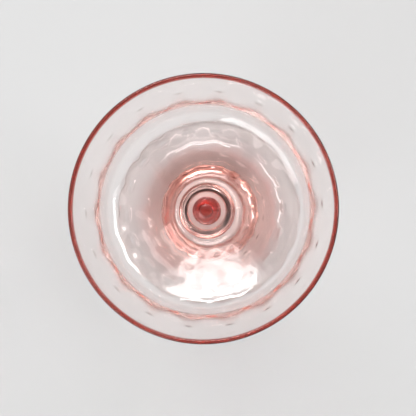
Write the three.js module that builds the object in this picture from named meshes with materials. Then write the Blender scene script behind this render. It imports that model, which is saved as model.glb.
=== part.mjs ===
// Footed glass compote (candy dish): optic-blown bowl, merese collar, solid stem, pressed foot.
// Millimetres, +Z up, standing on z = 0, axis of revolution on Z.
import * as THREE from 'three';

// Overall sizes
const RIM_R = 80.0; // outside radius of the fire-polished rim
const RIM_Z = 136.7; // height of the rim's centreline
const LIP_R = 1.55; // radius of the fire-polished bead that runs round the rim
const FOOT_R = 61.0; // outside radius of the foot
const BUTTON_R = 8.2; // radius of the domed button in the bowl's floor, same as the stem's end
const BUTTON_RISE = 7.6; // how far the button stands above the floor
const FLOOR_Z = 78.0; // inside floor of the bowl at the button
const BOWL_BASE_Z = 74.0; // flat underside of the bowl, where the collar is joined
const COLLAR_R = 15.95; // radius of the collar (merese)
const COLLAR_T = 4.9; // thickness of the collar
const FOOT_TOP_Z = 27.0; // top of the foot's dome, where the stem stands
const STEM_R = 8.2; // radius of the stem at both ends
const STEM_WAIST_R = 7.2; // radius of the stem half way up
const FOOT_HOLLOW_Z = 23.6; // top of the hollow under the foot's dome
const REST_IN_R = 56.5; // inner radius of the flat ring the foot rests on

// Optic pattern: staggered rows of shallow round bosses blown into the wall
const COLUMNS = 18;
const BOSS_H = 0.3; // height of a boss
const BOWL_SEGMENTS = COLUMNS * 4;
const FOOT_SEGMENTS = 60;
const STEM_SEGMENTS = 40;

// Inside surface of the bowl: radius, height, wall thickness measured square to the wall
const WALL = [
  [8.2, 78.0, 4.0],
  [11.5, 78.2, 3.9],
  [15.0, 78.7, 3.3],
  [18.0, 79.4, 2.4],
  [20.5, 80.1, 2.1],
  [24.0, 81.2, 2.0],
  [28.3, 82.75, 1.9],
  [33.0, 84.55, 1.8],
  [36.9, 86.1, 1.65],
  [42.5, 88.4, 1.5],
  [47.9, 90.65, 1.42],
  [51.5, 92.2, 1.36],
  [54.5, 93.55, 1.28],
  [56.0, 94.3, 1.24],
  [57.6, 95.3, 1.22],
  [59.2, 96.8, 1.22],
  [60.9, 99.6, 1.3],
  [62.7, 104.0, 1.7],
  [63.2, 108.0, 2.0],
  [63.5, 112.0, 2.1],
  [65.2, 117.0, 2.0],
  [68.6, 123.0, 1.8],
  [72.2, 129.2, 1.9],
  [75.2, 134.0, 2.3],
  [77.2, 137.2, 2.8],
];
// Rows of bosses by the radius they stand at, the lowest first. Every other row is turned half a column.
const BOSS_ROWS = [28.3, 36.9, 47.9, 54.5, 60.9, 65.2, 72.2];
const ROW_STRENGTH = [0.4, 0.5, 1.0, 0.4, 0.2, 0.5, 1.0];

// Closed body of revolution. The profile is [r, z, column phase, boss height] and runs from the axis round
// to the axis again, outside face last, so that the faces point out.
function revolve(profile, segments) {
  const pos = [];
  const index = [];
  const rings = profile.map(([r, z, phase = 0, boss = 0, nr = 0, nz = 0]) => {
    const start = pos.length / 3;
    if (r < 1e-6) {
      pos.push(0, 0, z);
      return { start, point: true };
    }
    for (let i = 0; i < segments; i++) {
      const a = (i / segments) * Math.PI * 2;
      const lift = boss * Math.max(0, Math.cos(COLUMNS * a + phase));
      const rr = r + nr * lift;
      pos.push(rr * Math.cos(a), rr * Math.sin(a), z + nz * lift);
    }
    return { start, point: false };
  });
  for (let k = 0; k + 1 < rings.length; k++) {
    const p = rings[k];
    const q = rings[k + 1];
    for (let i = 0; i < segments; i++) {
      const j = (i + 1) % segments;
      if (p.point) index.push(p.start, q.start + i, q.start + j);
      else if (q.point) index.push(p.start + i, q.start, p.start + j);
      else {
        index.push(p.start + i, q.start + i, q.start + j);
        index.push(p.start + i, q.start + j, p.start + j);
      }
    }
  }
  const g = new THREE.BufferGeometry();
  g.setAttribute('position', new THREE.Float32BufferAttribute(pos, 3));
  g.setIndex(index);
  g.computeVertexNormals();
  return g;
}

// Unit normal of a profile at point k, to the right of the way it runs (down and out of the wall)
function normalAt(path, k) {
  const a = path[Math.max(0, k - 1)];
  const b = path[Math.min(path.length - 1, k + 1)];
  const dr = b[0] - a[0];
  const dz = b[1] - a[1];
  const len = Math.hypot(dr, dz);
  return [dz / len, -dr / len];
}

function bowlProfile() {
  const top = [];
  const steps = 5;
  top.push([0, FLOOR_Z + BUTTON_RISE]);
  for (let i = 1; i < steps; i++) {
    const t = (i / steps) * (Math.PI / 2);
    top.push([BUTTON_R * Math.sin(t), FLOOR_Z + BUTTON_RISE * Math.cos(t)]);
  }
  for (const [r, z] of WALL) top.push([r, z]);
  // fire-polished lip, a half round from the inside face to the outside face
  for (let i = 0; i <= 4; i++) {
    const t = Math.PI * (0.8 - i / 4);
    top.push([RIM_R - LIP_R + LIP_R * Math.cos(t), RIM_Z + LIP_R * Math.sin(t)]);
  }
  // outside face, from the rim back down to the flat underside
  const outside = [];
  for (let k = WALL.length - 2; k >= 0; k--) {
    const [r, z, t] = WALL[k];
    const [nr, nz] = normalAt(WALL, k);
    const row = BOSS_ROWS.findIndex((v) => Math.abs(v - r) < 0.01);
    const lift = row < 0 ? 0 : BOSS_H * ROW_STRENGTH[row];
    const phase = row % 2 === 0 ? 0 : Math.PI;
    if (r + nr * t > COLLAR_R + 1.5) outside.push([r + nr * t, z + nz * t, phase, lift, nr, nz]);
  }
  return [...top, ...outside, [COLLAR_R + 0.6, BOWL_BASE_Z], [0, BOWL_BASE_Z]];
}

function collarProfile() {
  const z1 = BOWL_BASE_Z;
  const z0 = BOWL_BASE_Z - COLLAR_T;
  // rounded shoulder, then a bevel down to the flat underside
  return [
    [0, z1],
    [COLLAR_R - 2.1, z1],
    [COLLAR_R - 0.95, z1 - 0.12],
    [COLLAR_R - 0.2, z1 - 0.4],
    [COLLAR_R, z1 - 0.85],
    [COLLAR_R - 0.3, z1 - 1.35],
    [COLLAR_R - 3.1, z0 + 0.75],
    [COLLAR_R - 3.75, z0 + 0.2],
    [COLLAR_R - 4.55, z0],
    [0, z0],
  ];
}

function stemProfile() {
  const z1 = BOWL_BASE_Z - COLLAR_T;
  const z0 = FOOT_TOP_Z;
  const out = [[0, z1]];
  const steps = 12;
  for (let i = 0; i <= steps; i++) {
    const u = i / steps;
    const waist = Math.sin(u * Math.PI) ** 2;
    out.push([STEM_R - (STEM_R - STEM_WAIST_R) * waist, z1 + (z0 - z1) * u]);
  }
  out.push([0, z0]);
  return out;
}

// Upper face of the foot: domed in the middle, steep at the dome's side, nearly flat at the flange
const FOOT_FACE = [
  [10.5, 27.0],
  [13.0, 26.8],
  [16.0, 26.3],
  [20.0, 25.2],
  [24.0, 23.85],
  [27.0, 22.5],
  [30.0, 20.85],
  [33.0, 18.85],
  [35.5, 16.8],
  [37.3, 14.65],
  [38.4, 12.4],
  [39.3, 10.6],
  [40.4, 9.2],
  [42.2, 7.3],
  [43.8, 6.0],
  [45.4, 5.05],
  [47.6, 4.05],
  [50.2, 3.35],
  [54.5, 2.85],
  [FOOT_R - 1.4, 2.5],
];
// Hollow under the foot, from the ground ring up to the middle
const FOOT_UNDER = [
  [REST_IN_R, 0],
  [54.5, 0.5],
  [52.0, 1.0],
  [50.0, 1.5],
  [47.5, 2.2],
  [45.0, 3.1],
  [42.0, 4.3],
  [39.6, 4.8],
  [37.4, 4.6],
  [34.6, 4.2],
  [31.7, 4.4],
  [29.2, 6.2],
  [26.7, 9.6],
  [24.3, 13.4],
  [21.6, 17.0],
  [18.5, 20.2],
  [16.3, 21.6],
  [13.0, 23.0],
  [9.0, FOOT_HOLLOW_Z],
  [0, FOOT_HOLLOW_Z],
];

function footProfile() {
  const edge = [[FOOT_R - 0.3, 2.2], [FOOT_R, 1.3], [FOOT_R - 0.3, 0.4], [FOOT_R - 1.2, 0]];
  return [[0, FOOT_TOP_Z], ...FOOT_FACE, ...edge, ...FOOT_UNDER];
}

const PINK = '#f1c3bb';
const RED = '#a83a28';
function glass(name, color) {
  return new THREE.MeshStandardMaterial({
    name, color, roughness: 0.05, metalness: 0, transparent: true, opacity: 0.45,
  });
}

const group = new THREE.Group();
group.name = 'glass_compote';
const PARTS = [
  ['bowl', bowlProfile(), BOWL_SEGMENTS, glass('pink_glass_bowl', PINK)],
  ['collar', collarProfile(), STEM_SEGMENTS, glass('pink_glass_collar', PINK)],
  ['stem', stemProfile(), STEM_SEGMENTS, glass('red_glass_stem', RED)],
  ['foot', footProfile(), FOOT_SEGMENTS, glass('pink_glass_foot', PINK)],
];
for (const [name, profile, segments, material] of PARTS) {
  // the profiles run clockwise seen with r to the right and z up, so the faces are turned to point out
  const mesh = new THREE.Mesh(revolve(profile, segments), material);
  mesh.name = name;
  group.add(mesh);
}

export default group;
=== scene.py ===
import math
from collections import namedtuple

import bpy
from mathutils import Matrix, Vector


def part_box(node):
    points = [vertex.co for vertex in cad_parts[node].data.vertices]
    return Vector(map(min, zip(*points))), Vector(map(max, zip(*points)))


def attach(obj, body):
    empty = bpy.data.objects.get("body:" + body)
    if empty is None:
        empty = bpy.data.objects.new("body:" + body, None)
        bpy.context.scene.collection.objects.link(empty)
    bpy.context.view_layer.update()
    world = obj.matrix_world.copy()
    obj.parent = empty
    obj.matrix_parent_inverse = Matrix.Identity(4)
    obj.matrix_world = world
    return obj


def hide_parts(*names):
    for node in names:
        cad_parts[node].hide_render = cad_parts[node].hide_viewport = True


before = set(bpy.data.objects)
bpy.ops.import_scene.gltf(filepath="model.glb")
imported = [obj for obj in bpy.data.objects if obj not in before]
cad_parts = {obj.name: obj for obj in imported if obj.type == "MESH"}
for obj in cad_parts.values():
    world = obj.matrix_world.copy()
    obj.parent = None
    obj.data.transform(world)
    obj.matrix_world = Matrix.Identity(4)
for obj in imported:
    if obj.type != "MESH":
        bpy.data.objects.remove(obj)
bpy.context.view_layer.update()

MM = 0.001
COLUMNS = 18  # columns of the optic pattern round the bowl
BOWL_SEGMENTS = COLUMNS * 18
ROD_SEGMENTS = 144
FOOT_SEGMENTS = 480
TINY = 1e-6  # a point nearer the axis than this is on it

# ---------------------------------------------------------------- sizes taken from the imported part
bowl_lo, bowl_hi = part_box("bowl")
collar_lo, collar_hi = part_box("collar")
stem_lo, stem_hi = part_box("stem")
foot_lo, foot_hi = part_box("foot")
RIM_TOP = bowl_hi[2] / MM
BASE_Z = bowl_lo[2] / MM
COLLAR_R = collar_hi[0] / MM
COLLAR_T = (collar_hi[2] - collar_lo[2]) / MM
FOOT_R = foot_hi[0] / MM
FOOT_TOP = foot_hi[2] / MM
STEM_R = stem_hi[0] / MM
JOIN = 0.05  # hot-joined pieces run this far into each other, so that no film of air is left between


# ---------------------------------------------------------------- curves
def spline(p, q, r, s, t):
    """Catmull-Rom value between q and r."""
    square = (2 * p - 5 * q + 4 * r - s) * t * t
    cube = (3 * q - p - 3 * r + s) * t**3
    return 0.5 * (2 * q + (r - p) * t + square + cube)


def curve(points, step):
    """Smooth curve through (r, z, ...) points, one point every step millimetres."""
    out = []
    ends = [points[0]] + list(points) + [points[-1]]
    for i in range(1, len(ends) - 2):
        a, b, c, d = ends[i - 1 : i + 3]
        n = max(1, round(math.dist(b[:2], c[:2]) / step))
        for k in range(n):
            out.append(tuple(spline(p, q, r, s, k / n) for p, q, r, s in zip(a, b, c, d)))
    out.append(tuple(points[-1]))
    return out


def normal(path, k):
    """Unit normal at point k, to the right of the way the path runs: in a profile, into the glass."""
    a, b = path[max(0, k - 1)], path[min(len(path) - 1, k + 1)]
    dr, dz = b[0] - a[0], b[1] - a[1]
    length = math.hypot(dr, dz)
    return dz / length, -dr / length


def smooth(x):
    x = min(1.0, max(0.0, x))
    return x * x * (3 - 2 * x)


def revolve(name, profile, segments, press=None):
    """Closed body from a profile that starts and ends on the axis, with the glass on its right.

    press(k, angle) gives how far point k is pressed into the glass. Below 0 it stands out.
    """
    verts, faces, rings = [], [], []
    for k, (r, z) in enumerate(profile):
        start = len(verts)
        if r < TINY:
            verts.append((0.0, 0.0, z * MM))
            rings.append([start] * segments)
            continue
        nr, nz = normal(profile, k)
        for i in range(segments):
            a = 2 * math.pi * i / segments
            depth = press(k, a) if press else 0.0
            rr = r + nr * depth
            verts.append((rr * math.cos(a) * MM, rr * math.sin(a) * MM, (z + nz * depth) * MM))
        rings.append(list(range(start, start + segments)))
    for p, q in zip(rings, rings[1:]):
        for i in range(segments):
            j = (i + 1) % segments
            face = [p[i], q[i], q[j], p[j]]
            faces.append([v for n, v in enumerate(face) if v not in face[:n]])
    mesh = bpy.data.meshes.new(name)
    mesh.from_pydata(verts, [], faces)
    mesh.validate()
    for poly in mesh.polygons:
        poly.use_smooth = True
    ob = bpy.data.objects.new(name, mesh)
    bpy.context.scene.collection.objects.link(ob)
    return ob


# ---------------------------------------------------------------- glass
IOR = 1.51
REAM_PER_METRE = 70.0
REAM_HEIGHT = 0.0001
# deep red painted into the lip's base colour: painted shade for the long path that light runs round inside
# the rim
LIP_PAINTED_RED = (0.30, 0.011, 0.006)


def glass(name, absorb, lip=None):
    """Clear glass that takes absorb (red, green, blue) per metre from the light inside it."""
    mat = bpy.data.materials.new(name)
    mat.use_nodes = True
    nt = mat.node_tree
    nt.nodes.clear()
    out = nt.nodes.new("ShaderNodeOutputMaterial")
    body = nt.nodes.new("ShaderNodeBsdfPrincipled")
    body.inputs["Base Color"].default_value = (1, 1, 1, 1)
    body.inputs["Roughness"].default_value = 0.0
    body.inputs["IOR"].default_value = IOR
    body.inputs["Transmission Weight"].default_value = 1.0
    nt.links.new(body.outputs["BSDF"], out.inputs["Surface"])
    # painted shade: where the mesh attribute lip is 1, the base colour is painted the lip colour, for light
    # that runs a long way inside the rim
    if lip is not None:
        where = nt.nodes.new("ShaderNodeAttribute")
        where.attribute_name = "lip"
        mix = nt.nodes.new("ShaderNodeMix")
        mix.data_type = "RGBA"
        mix.inputs[6].default_value = (1, 1, 1, 1)
        mix.inputs[7].default_value = (*lip, 1)
        nt.links.new(where.outputs["Fac"], mix.inputs[0])
        nt.links.new(mix.outputs[2], body.inputs["Base Color"])
    # faint ream: the slow swells that hand-worked glass keeps in its skin
    place = nt.nodes.new("ShaderNodeTexCoord")
    swell = nt.nodes.new("ShaderNodeTexNoise")
    swell.inputs["Scale"].default_value = REAM_PER_METRE
    swell.inputs["Detail"].default_value = 1.0
    skin = nt.nodes.new("ShaderNodeBump")
    skin.inputs["Strength"].default_value = 1.0
    skin.inputs["Distance"].default_value = REAM_HEIGHT
    nt.links.new(place.outputs["Object"], swell.inputs["Vector"])
    nt.links.new(swell.outputs["Fac"], skin.inputs["Height"])
    nt.links.new(skin.outputs["Normal"], body.inputs["Normal"])
    inside = nt.nodes.new("ShaderNodeVolumeAbsorption")
    density = max(absorb)
    inside.inputs["Density"].default_value = density
    inside.inputs["Color"].default_value = tuple(1 - a / density for a in absorb) + (1,)
    nt.links.new(inside.outputs["Volume"], out.inputs["Volume"])
    return mat


bowl_glass = glass("bowl_glass", (3.0, 24.0, 28.5), LIP_PAINTED_RED)
foot_glass = glass("foot_glass", (2.6, 21.0, 25.5))
stem_glass = glass("stem_glass", (12.5, 82.0, 106.0))
collar_glass = glass("collar_glass", (1.5, 11.0, 13.0))

# ---------------------------------------------------------------- bowl
# inside face, from the middle out: radius, height, wall thickness
WALL = [
    (8.2, 78.0, 4.0),
    (11.5, 78.2, 3.9),
    (15.0, 78.7, 3.3),
    (18.0, 79.4, 2.4),
    (20.5, 80.1, 2.1),
    (24.0, 81.2, 2.0),
    (28.3, 82.75, 1.9),
    (33.0, 84.55, 1.8),
    (36.9, 86.1, 1.65),
    (42.5, 88.4, 1.5),
    (47.9, 90.65, 1.42),
    (51.5, 92.2, 1.36),
    (54.5, 93.55, 1.28),
    (56.0, 94.3, 1.24),
    (57.6, 95.3, 1.22),
    (59.2, 96.8, 1.22),
    (60.9, 99.6, 1.3),
    (62.7, 104.0, 1.7),
    (63.2, 108.0, 2.0),
    (63.5, 112.0, 2.1),
    (65.2, 117.0, 2.0),
    (68.6, 123.0, 1.8),
    (72.2, 129.2, 1.9),
    (75.2, 134.0, 2.3),
    (77.3, 137.4, 2.8),
]
FLOOR_Z = WALL[0][1]
BUTTON_RISE = 7.6  # height of the domed button in the bowl's floor
BUTTON_STEPS = 24
INNER_STEP, OUTER_STEP = 1.1, 0.55
LIP_STEPS = 12
LIP_SWELL = 0.10  # how far the fire-polished bead stands proud of a half round, as a share of its radius
# Optic pattern, row by row: radius of the row, half height along the wall and half width of a dent, depth of
# the dent, softness of its edge, depth of the broad wave. Every other row is turned half a column.
Row = namedtuple("Row", "radius half_height half_width dent softness wave")
ROWS = [
    Row(28.3, 1.3, 2.6, 0.06, 0.50, 0.03),
    Row(36.9, 1.4, 3.2, 0.08, 0.50, 0.06),
    Row(47.9, 1.6, 3.9, 0.30, 0.42, 0.10),
    Row(54.7, 2.5, 3.5, 0.00, 0.50, 0.09),
    Row(60.8, 3.0, 3.5, 0.00, 0.50, 0.07),
    Row(65.2, 3.6, 3.0, 0.04, 0.50, 0.15),
    Row(72.0, 2.4, 3.6, 0.22, 0.90, 0.16),
    Row(77.5, 3.0, 2.8, 0.00, 0.50, 0.12),
]
FADE_BELOW, FADE_ABOVE = 10.0, 8.0  # the wave dies away over this much wall past the first and the last row
DENT_EDGE = 1.12  # where a dent ends, in half widths from its middle
# Share of the wave that the inside face takes below and above the fold. Less than 0 means that it follows the
# outside face, more than 0 that the wall gets thicker and thinner.
SHARE_BELOW, SHARE_ABOVE = -0.25, 0.6
FOLD_TOP, FOLD_BLEND = 104.0, 8.0


def arc_lengths(path):
    out = [0.0]
    for a, b in zip(path, path[1:]):
        out.append(out[-1] + math.dist(a[:2], b[:2]))
    return out


def optic(path, dents):
    """How far the optic pattern presses a wall path into the glass, as a function of point and angle.

    dents is False for the broad wave alone.
    """
    arcs = arc_lengths(path)
    centres = []
    for row in ROWS:
        nearest = min(range(len(path)), key=lambda k: abs(path[k][0] - row.radius))
        centres.append(arcs[nearest])

    def at(k, a):
        s, r = arcs[k], path[k][0]
        # u counts the rows along the wall, and m and n are the rows below and above the point
        if s <= centres[0]:
            u, m = (s - centres[0]) / FADE_BELOW, 0
        else:
            m = max(i for i, c in enumerate(centres) if s >= c)
            gap = centres[m + 1] - centres[m] if m + 1 < len(centres) else FADE_ABOVE
            u = m + (s - centres[m]) / gap
        n = min(len(ROWS) - 1, m + 1)
        f = min(1.0, max(0.0, u - m))
        wave = ROWS[m].wave * (1 - f) + ROWS[n].wave * f
        if u < 0:
            wave = ROWS[0].wave * smooth(1 + u)
        if u > len(ROWS) - 1:
            wave *= smooth(len(ROWS) - u)
        depth = wave * math.cos(COLUMNS * a) * math.cos(math.pi * u)
        for i in range(m, n + 1) if dents else ():
            row = ROWS[i]
            turn = (a * COLUMNS / (2 * math.pi) + (0.5 if i % 2 else 0.0)) % 1.0
            across = min(turn, 1 - turn) * 2 * math.pi / COLUMNS * r
            off = math.hypot((s - centres[i]) / row.half_height, across / row.half_width)
            depth += row.dent * smooth((DENT_EDGE - off) / row.softness)
        return depth

    return at


def make_bowl():
    inside = [p[:2] for p in curve(WALL, INNER_STEP)]
    fine = curve(WALL, OUTER_STEP)
    outside = []
    for k in range(len(fine) - 1, -1, -1):
        r, z, t = fine[k]
        nr, nz = normal(fine, k)
        if r + nr * t > COLLAR_R + 1.2:
            outside.append((r + nr * t, z + nz * t))
    button = [(0.0, FLOOR_Z + BUTTON_RISE)]
    for i in range(1, BUTTON_STEPS):
        t = math.pi / 2 * i / BUTTON_STEPS
        button.append((STEM_R * math.sin(t), FLOOR_Z + BUTTON_RISE * math.cos(t)))
    # fire-polished lip, a swollen half round from the inside face to the outside face
    a, b = inside[-1], outside[0]
    lip = []
    cr, cz = (a[0] + b[0]) / 2, (a[1] + b[1]) / 2
    half = math.dist(a, b) / 2
    turn = math.atan2(a[1] - cz, a[0] - cr)
    for i in range(1, LIP_STEPS):
        t = turn - math.pi * i / LIP_STEPS
        swell = 1 + LIP_SWELL * math.sin(math.pi * i / LIP_STEPS)
        lip.append((cr + half * swell * math.cos(t), cz + half * swell * math.sin(t)))
    under = curve([outside[-1], (COLLAR_R + 0.5, BASE_Z + 0.35), (COLLAR_R - 1.0, BASE_Z)], 0.4)[1:]
    middle = [(8.0, BASE_Z), (4.0, BASE_Z), (0.0, BASE_Z)]
    profile = button + inside + lip + outside + under + middle

    # where the inside face and the outside face begin and end in the profile
    inner_from = len(button)
    inner_to = inner_from + len(inside) - 1
    outer_from = inner_to + 1 + len(lip)
    outer_to = outer_from + len(outside) - 1
    press_outer = optic(outside[::-1], dents=True)
    press_inner = optic(inside, dents=False)

    def press(k, a):
        if outer_from <= k <= outer_to:
            return press_outer(outer_to - k, a)
        if inner_from <= k <= inner_to:
            above = smooth((profile[k][1] - FOLD_TOP) / FOLD_BLEND)
            share = SHARE_BELOW + (SHARE_ABOVE - SHARE_BELOW) * above
            return share * press_inner(k - inner_from, a)
        return 0.0

    ob = revolve("bowl_glassware", profile, BOWL_SEGMENTS, press)
    # the lip's base colour is painted deep red from its second point to a little way down the outside:
    # painted shade for the long path that light runs round inside the rim
    painted_reds = []
    for k, (r, _) in enumerate(profile):
        red = 1.0 if inner_to + 2 <= k <= outer_from + 4 else 0.0
        painted_reds += [red] * (1 if r < TINY else BOWL_SEGMENTS)
    lip_painted_red = ob.data.attributes.new("lip", "FLOAT", "POINT")
    lip_painted_red.data.foreach_set("value", painted_reds)
    return ob


bowl = make_bowl()
bowl.data.materials.append(bowl_glass)

# ---------------------------------------------------------------- collar
# radius and depth below the bowl: a rounded shoulder, then a bevel down to the flat underside
COLLAR_EDGE = [
    (13.8, 0.0),
    (15.0, 0.12),
    (15.75, 0.4),
    (15.95, 0.85),
    (15.65, 1.35),
    (14.25, 2.75),
    (12.85, 4.15),
    (12.2, 4.7),
    (11.4, 4.9),
    (9.0, 4.9),
]
profile = [(0.0, BASE_Z + JOIN), (13.0, BASE_Z + JOIN)]
profile += [(r, BASE_Z - d) for r, d in curve(COLLAR_EDGE, 0.25)]
profile += [(0.0, BASE_Z - COLLAR_T)]
collar = revolve("collar_glassware", profile, ROD_SEGMENTS)
collar.data.materials.append(collar_glass)

# ---------------------------------------------------------------- stem
STEM_WAIST = 1.0  # the stem is this much slimmer half way up
STEM_STEPS = 48
top, bottom = BASE_Z - COLLAR_T + JOIN, FOOT_TOP - JOIN
profile = [(0.0, top)]
for i in range(STEM_STEPS + 1):
    u = i / STEM_STEPS
    profile.append((STEM_R - STEM_WAIST * math.sin(u * math.pi) ** 2, top + (bottom - top) * u))
profile.append((0.0, bottom))
stem = revolve("stem_glassware", profile, ROD_SEGMENTS)
stem.data.materials.append(stem_glass)

# ---------------------------------------------------------------- foot
# upper face of the foot, from the middle out: radius, height
FACE = [
    (10.5, 27.0),
    (13.0, 26.8),
    (16.0, 26.3),
    (20.0, 25.2),
    (24.0, 23.85),
    (27.0, 22.5),
    (30.0, 20.85),
    (33.0, 18.85),
    (35.5, 16.8),
    (37.3, 14.65),
    (38.4, 12.4),
    (39.3, 10.6),
    (40.4, 9.2),
    (42.2, 7.3),
    (43.8, 6.0),
    (45.4, 5.05),
    (47.6, 4.05),
    (50.2, 3.35),
    (54.5, 2.85),
    (59.6, 2.5),
]
SEAMS = (110.5, 232.5, 351.5)  # fine grooves for the lines left by the mould, clockwise from +Y
SEAM_FROM, SEAM_TO = 15.0, 33.0
SEAM_DEPTH, SEAM_WIDTH = 0.22, 0.35
face = curve(FACE, 0.8)
edge = curve([(59.6, 2.5), (60.7, 2.2), (FOOT_R, 1.3), (60.7, 0.4), (59.8, 0.0)], 0.3)[1:]
# hollow under the foot, from the ground ring in
UNDER = [
    (56.5, 0.0),
    (54.5, 0.5),
    (52.0, 1.0),
    (50.0, 1.5),
    (47.5, 2.2),
    (45.0, 3.1),
    (42.0, 4.3),
    (39.6, 4.8),
    (37.4, 4.6),
    (34.6, 4.2),
    (31.7, 4.4),
    (29.2, 6.2),
    (26.7, 9.6),
    (24.3, 13.4),
    (21.6, 17.0),
    (18.5, 20.2),
    (16.3, 21.6),
    (13.0, 23.0),
    (9.0, 23.6),
]
under = curve(UNDER, 1.2)
profile = [(0.0, FOOT_TOP)] + face + edge + under + [(0.0, UNDER[-1][1])]


def seam(k, a):
    """How far the mould seams are pressed into the upper face of the foot."""
    if k > len(face):
        return 0.0
    r = profile[k][0]
    along = smooth((r - SEAM_FROM) / 2.0) * smooth((SEAM_TO - r) / 2.0)
    if along == 0.0:
        return 0.0
    depth = 0.0
    for line in SEAMS:
        off = math.remainder(a - math.radians(90 - line), 2 * math.pi) * r
        depth += SEAM_DEPTH * along * math.exp(-((off / SEAM_WIDTH) ** 2))
    return depth


foot = revolve("foot_glassware", profile, FOOT_SEGMENTS, seam)
foot.data.materials.append(foot_glass)

for piece, node, slot in (
    (bowl, "bowl", "bowl_glass"),
    (collar, "collar", "bowl_glass"),
    (stem, "stem", "stem_glass"),
    (foot, "foot", "foot_glass"),
):
    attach(piece, "root")
    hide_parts(node)

# ---------------------------------------------------------------- table, lamps and camera
GAP = 0.0001  # the foot stands this far above the table, so that the two faces don't fight
HALF = 6.0  # half the width of the table
mesh = bpy.data.meshes.new("table_top")
corners = [(-HALF, -HALF, -GAP), (HALF, -HALF, -GAP), (HALF, HALF, -GAP), (-HALF, HALF, -GAP)]
mesh.from_pydata(corners, [], [(0, 1, 2, 3)])
table = bpy.data.objects.new("table_top", mesh)
bpy.context.scene.collection.objects.link(table)
mat = bpy.data.materials.new("table_paper")
mat.use_nodes = True
paper = mat.node_tree.nodes["Principled BSDF"]
paper.inputs["Base Color"].default_value = (0.515, 0.515, 0.515, 1)
paper.inputs["Roughness"].default_value = 0.9
mesh.materials.append(mat)


BOWL_MIDDLE = Vector((0, 0, 0.08))


def softbox(name, azimuth, zenith, width, height, power, distance):
    """Soft lamp aimed at the bowl. azimuth is clockwise from +Y, zenith down from straight up."""
    data = bpy.data.lights.new(name, "AREA")
    data.shape = "RECTANGLE"
    data.size, data.size_y, data.energy = width, height, power
    ob = bpy.data.objects.new(name, data)
    bpy.context.scene.collection.objects.link(ob)
    a, t = math.radians(90 - azimuth), math.radians(zenith)
    at = Vector((math.cos(a) * math.sin(t), math.sin(a) * math.sin(t), math.cos(t))) * distance
    turn = (BOWL_MIDDLE - at).to_track_quat("-Z", "Y").to_matrix().to_4x4()
    ob.matrix_world = Matrix.Translation(at) @ turn


# each lamp is a bright panel inside a wider, dimmer one, so that its reflection has a soft edge
softbox("lamp_north", -6.5, 44.2, 6.2, 0.7, 92.0, 8.0)
softbox("lamp_north_strip", -6.5, 54.0, 5.4, 0.40, 165.0, 8.0)
softbox("lamp_north_body", -6.5, 44.5, 6.8, 1.15, 40.0, 8.0)
softbox("lamp_north_glow", -6.5, 44.7, 7.4, 1.8, 65.0, 8.0)
softbox("lamp_north_haze", -6.5, 46.0, 8.6, 2.6, 65.0, 8.0)
softbox("lamp_east", 71.5, 52.5, 6.4, 0.45, 180.0, 8.0)
softbox("lamp_east_body", 71.5, 52.5, 6.6, 0.8, 50.0, 8.0)
softbox("lamp_east_glow", 71.5, 52, 8.0, 2.0, 80.0, 8.0)
softbox("fill_south", 227.5, 66, 2.6, 1.6, 44.0, 2.5)

# a dark ceiling panel above the camera, which covers the half of the room to the south
CEILING_Z = 1.6
CEILING_PAST = 0.04  # it reaches this far north of the bowl's middle
CEILING_DEPTH = 1.3
mesh = bpy.data.meshes.new("dark_ceiling")
across = Vector((math.cos(math.radians(-5)), math.sin(math.radians(-5)), 0))
away = Vector((-0.087, -0.996, 0))
edge_at = Vector((0.0, 0.0, CEILING_Z)) - away * CEILING_PAST
far = away * CEILING_DEPTH
corners = [edge_at - across, edge_at + across, edge_at + across + far, edge_at - across + far]
mesh.from_pydata(corners, [], [(0, 1, 2, 3)])
ceiling = bpy.data.objects.new("dark_ceiling", mesh)
bpy.context.scene.collection.objects.link(ceiling)
mat = bpy.data.materials.new("dark_ceiling")
mat.use_nodes = True
mat.node_tree.nodes["Principled BSDF"].inputs["Base Color"].default_value = (0.02, 0.02, 0.02, 1)
mat.node_tree.nodes["Principled BSDF"].inputs["Roughness"].default_value = 1.0
mesh.materials.append(mat)
ceiling.visible_camera = False

world = bpy.data.worlds.new("room")
bpy.context.scene.world = world
world.use_nodes = True
world.node_tree.nodes["Background"].inputs["Color"].default_value = (0.7, 0.7, 0.7, 1)
world.node_tree.nodes["Background"].inputs["Strength"].default_value = 1.0

CAMERA_TO_RIM = 1.0
VIEW_WIDTH = 0.2446  # width of the picture at the rim
SHIFT = (-0.0068, 0.0127)  # the dish stands a little off the middle of the picture
cam = bpy.data.cameras.new("camera")
cam.sensor_width = 36.0
cam.lens = 36.0 * CAMERA_TO_RIM / VIEW_WIDTH
cam.shift_x, cam.shift_y = SHIFT
cam.clip_start = 0.05
camera = bpy.data.objects.new("camera", cam)
bpy.context.scene.collection.objects.link(camera)
TILT = math.radians(2.25)  # the camera leans this far from straight above
SIDE = math.radians(-34.5)  # towards here, counted from +X
ROLL = math.radians(2.5)
back = Vector((math.cos(SIDE) * math.sin(TILT), math.sin(SIDE) * math.sin(TILT), math.cos(TILT)))
up = Vector((math.sin(ROLL), math.cos(ROLL), 0))
up = (up - back * back.dot(up)).normalized()
right = up.cross(back)
pose = Matrix((right, up, back)).transposed().to_4x4()
pose.translation = back * (CAMERA_TO_RIM + RIM_TOP * MM)
camera.matrix_world = pose
scene = bpy.context.scene
scene.camera = camera

scene.view_settings.view_transform = "Standard"
scene.cycles.max_bounces = 40
scene.cycles.transmission_bounces = 40
scene.cycles.glossy_bounces = 12
scene.cycles.diffuse_bounces = 4
scene.cycles.blur_glossy = 0.0
scene.cycles.sample_clamp_indirect = 0.0
scene.cycles.use_denoising = True
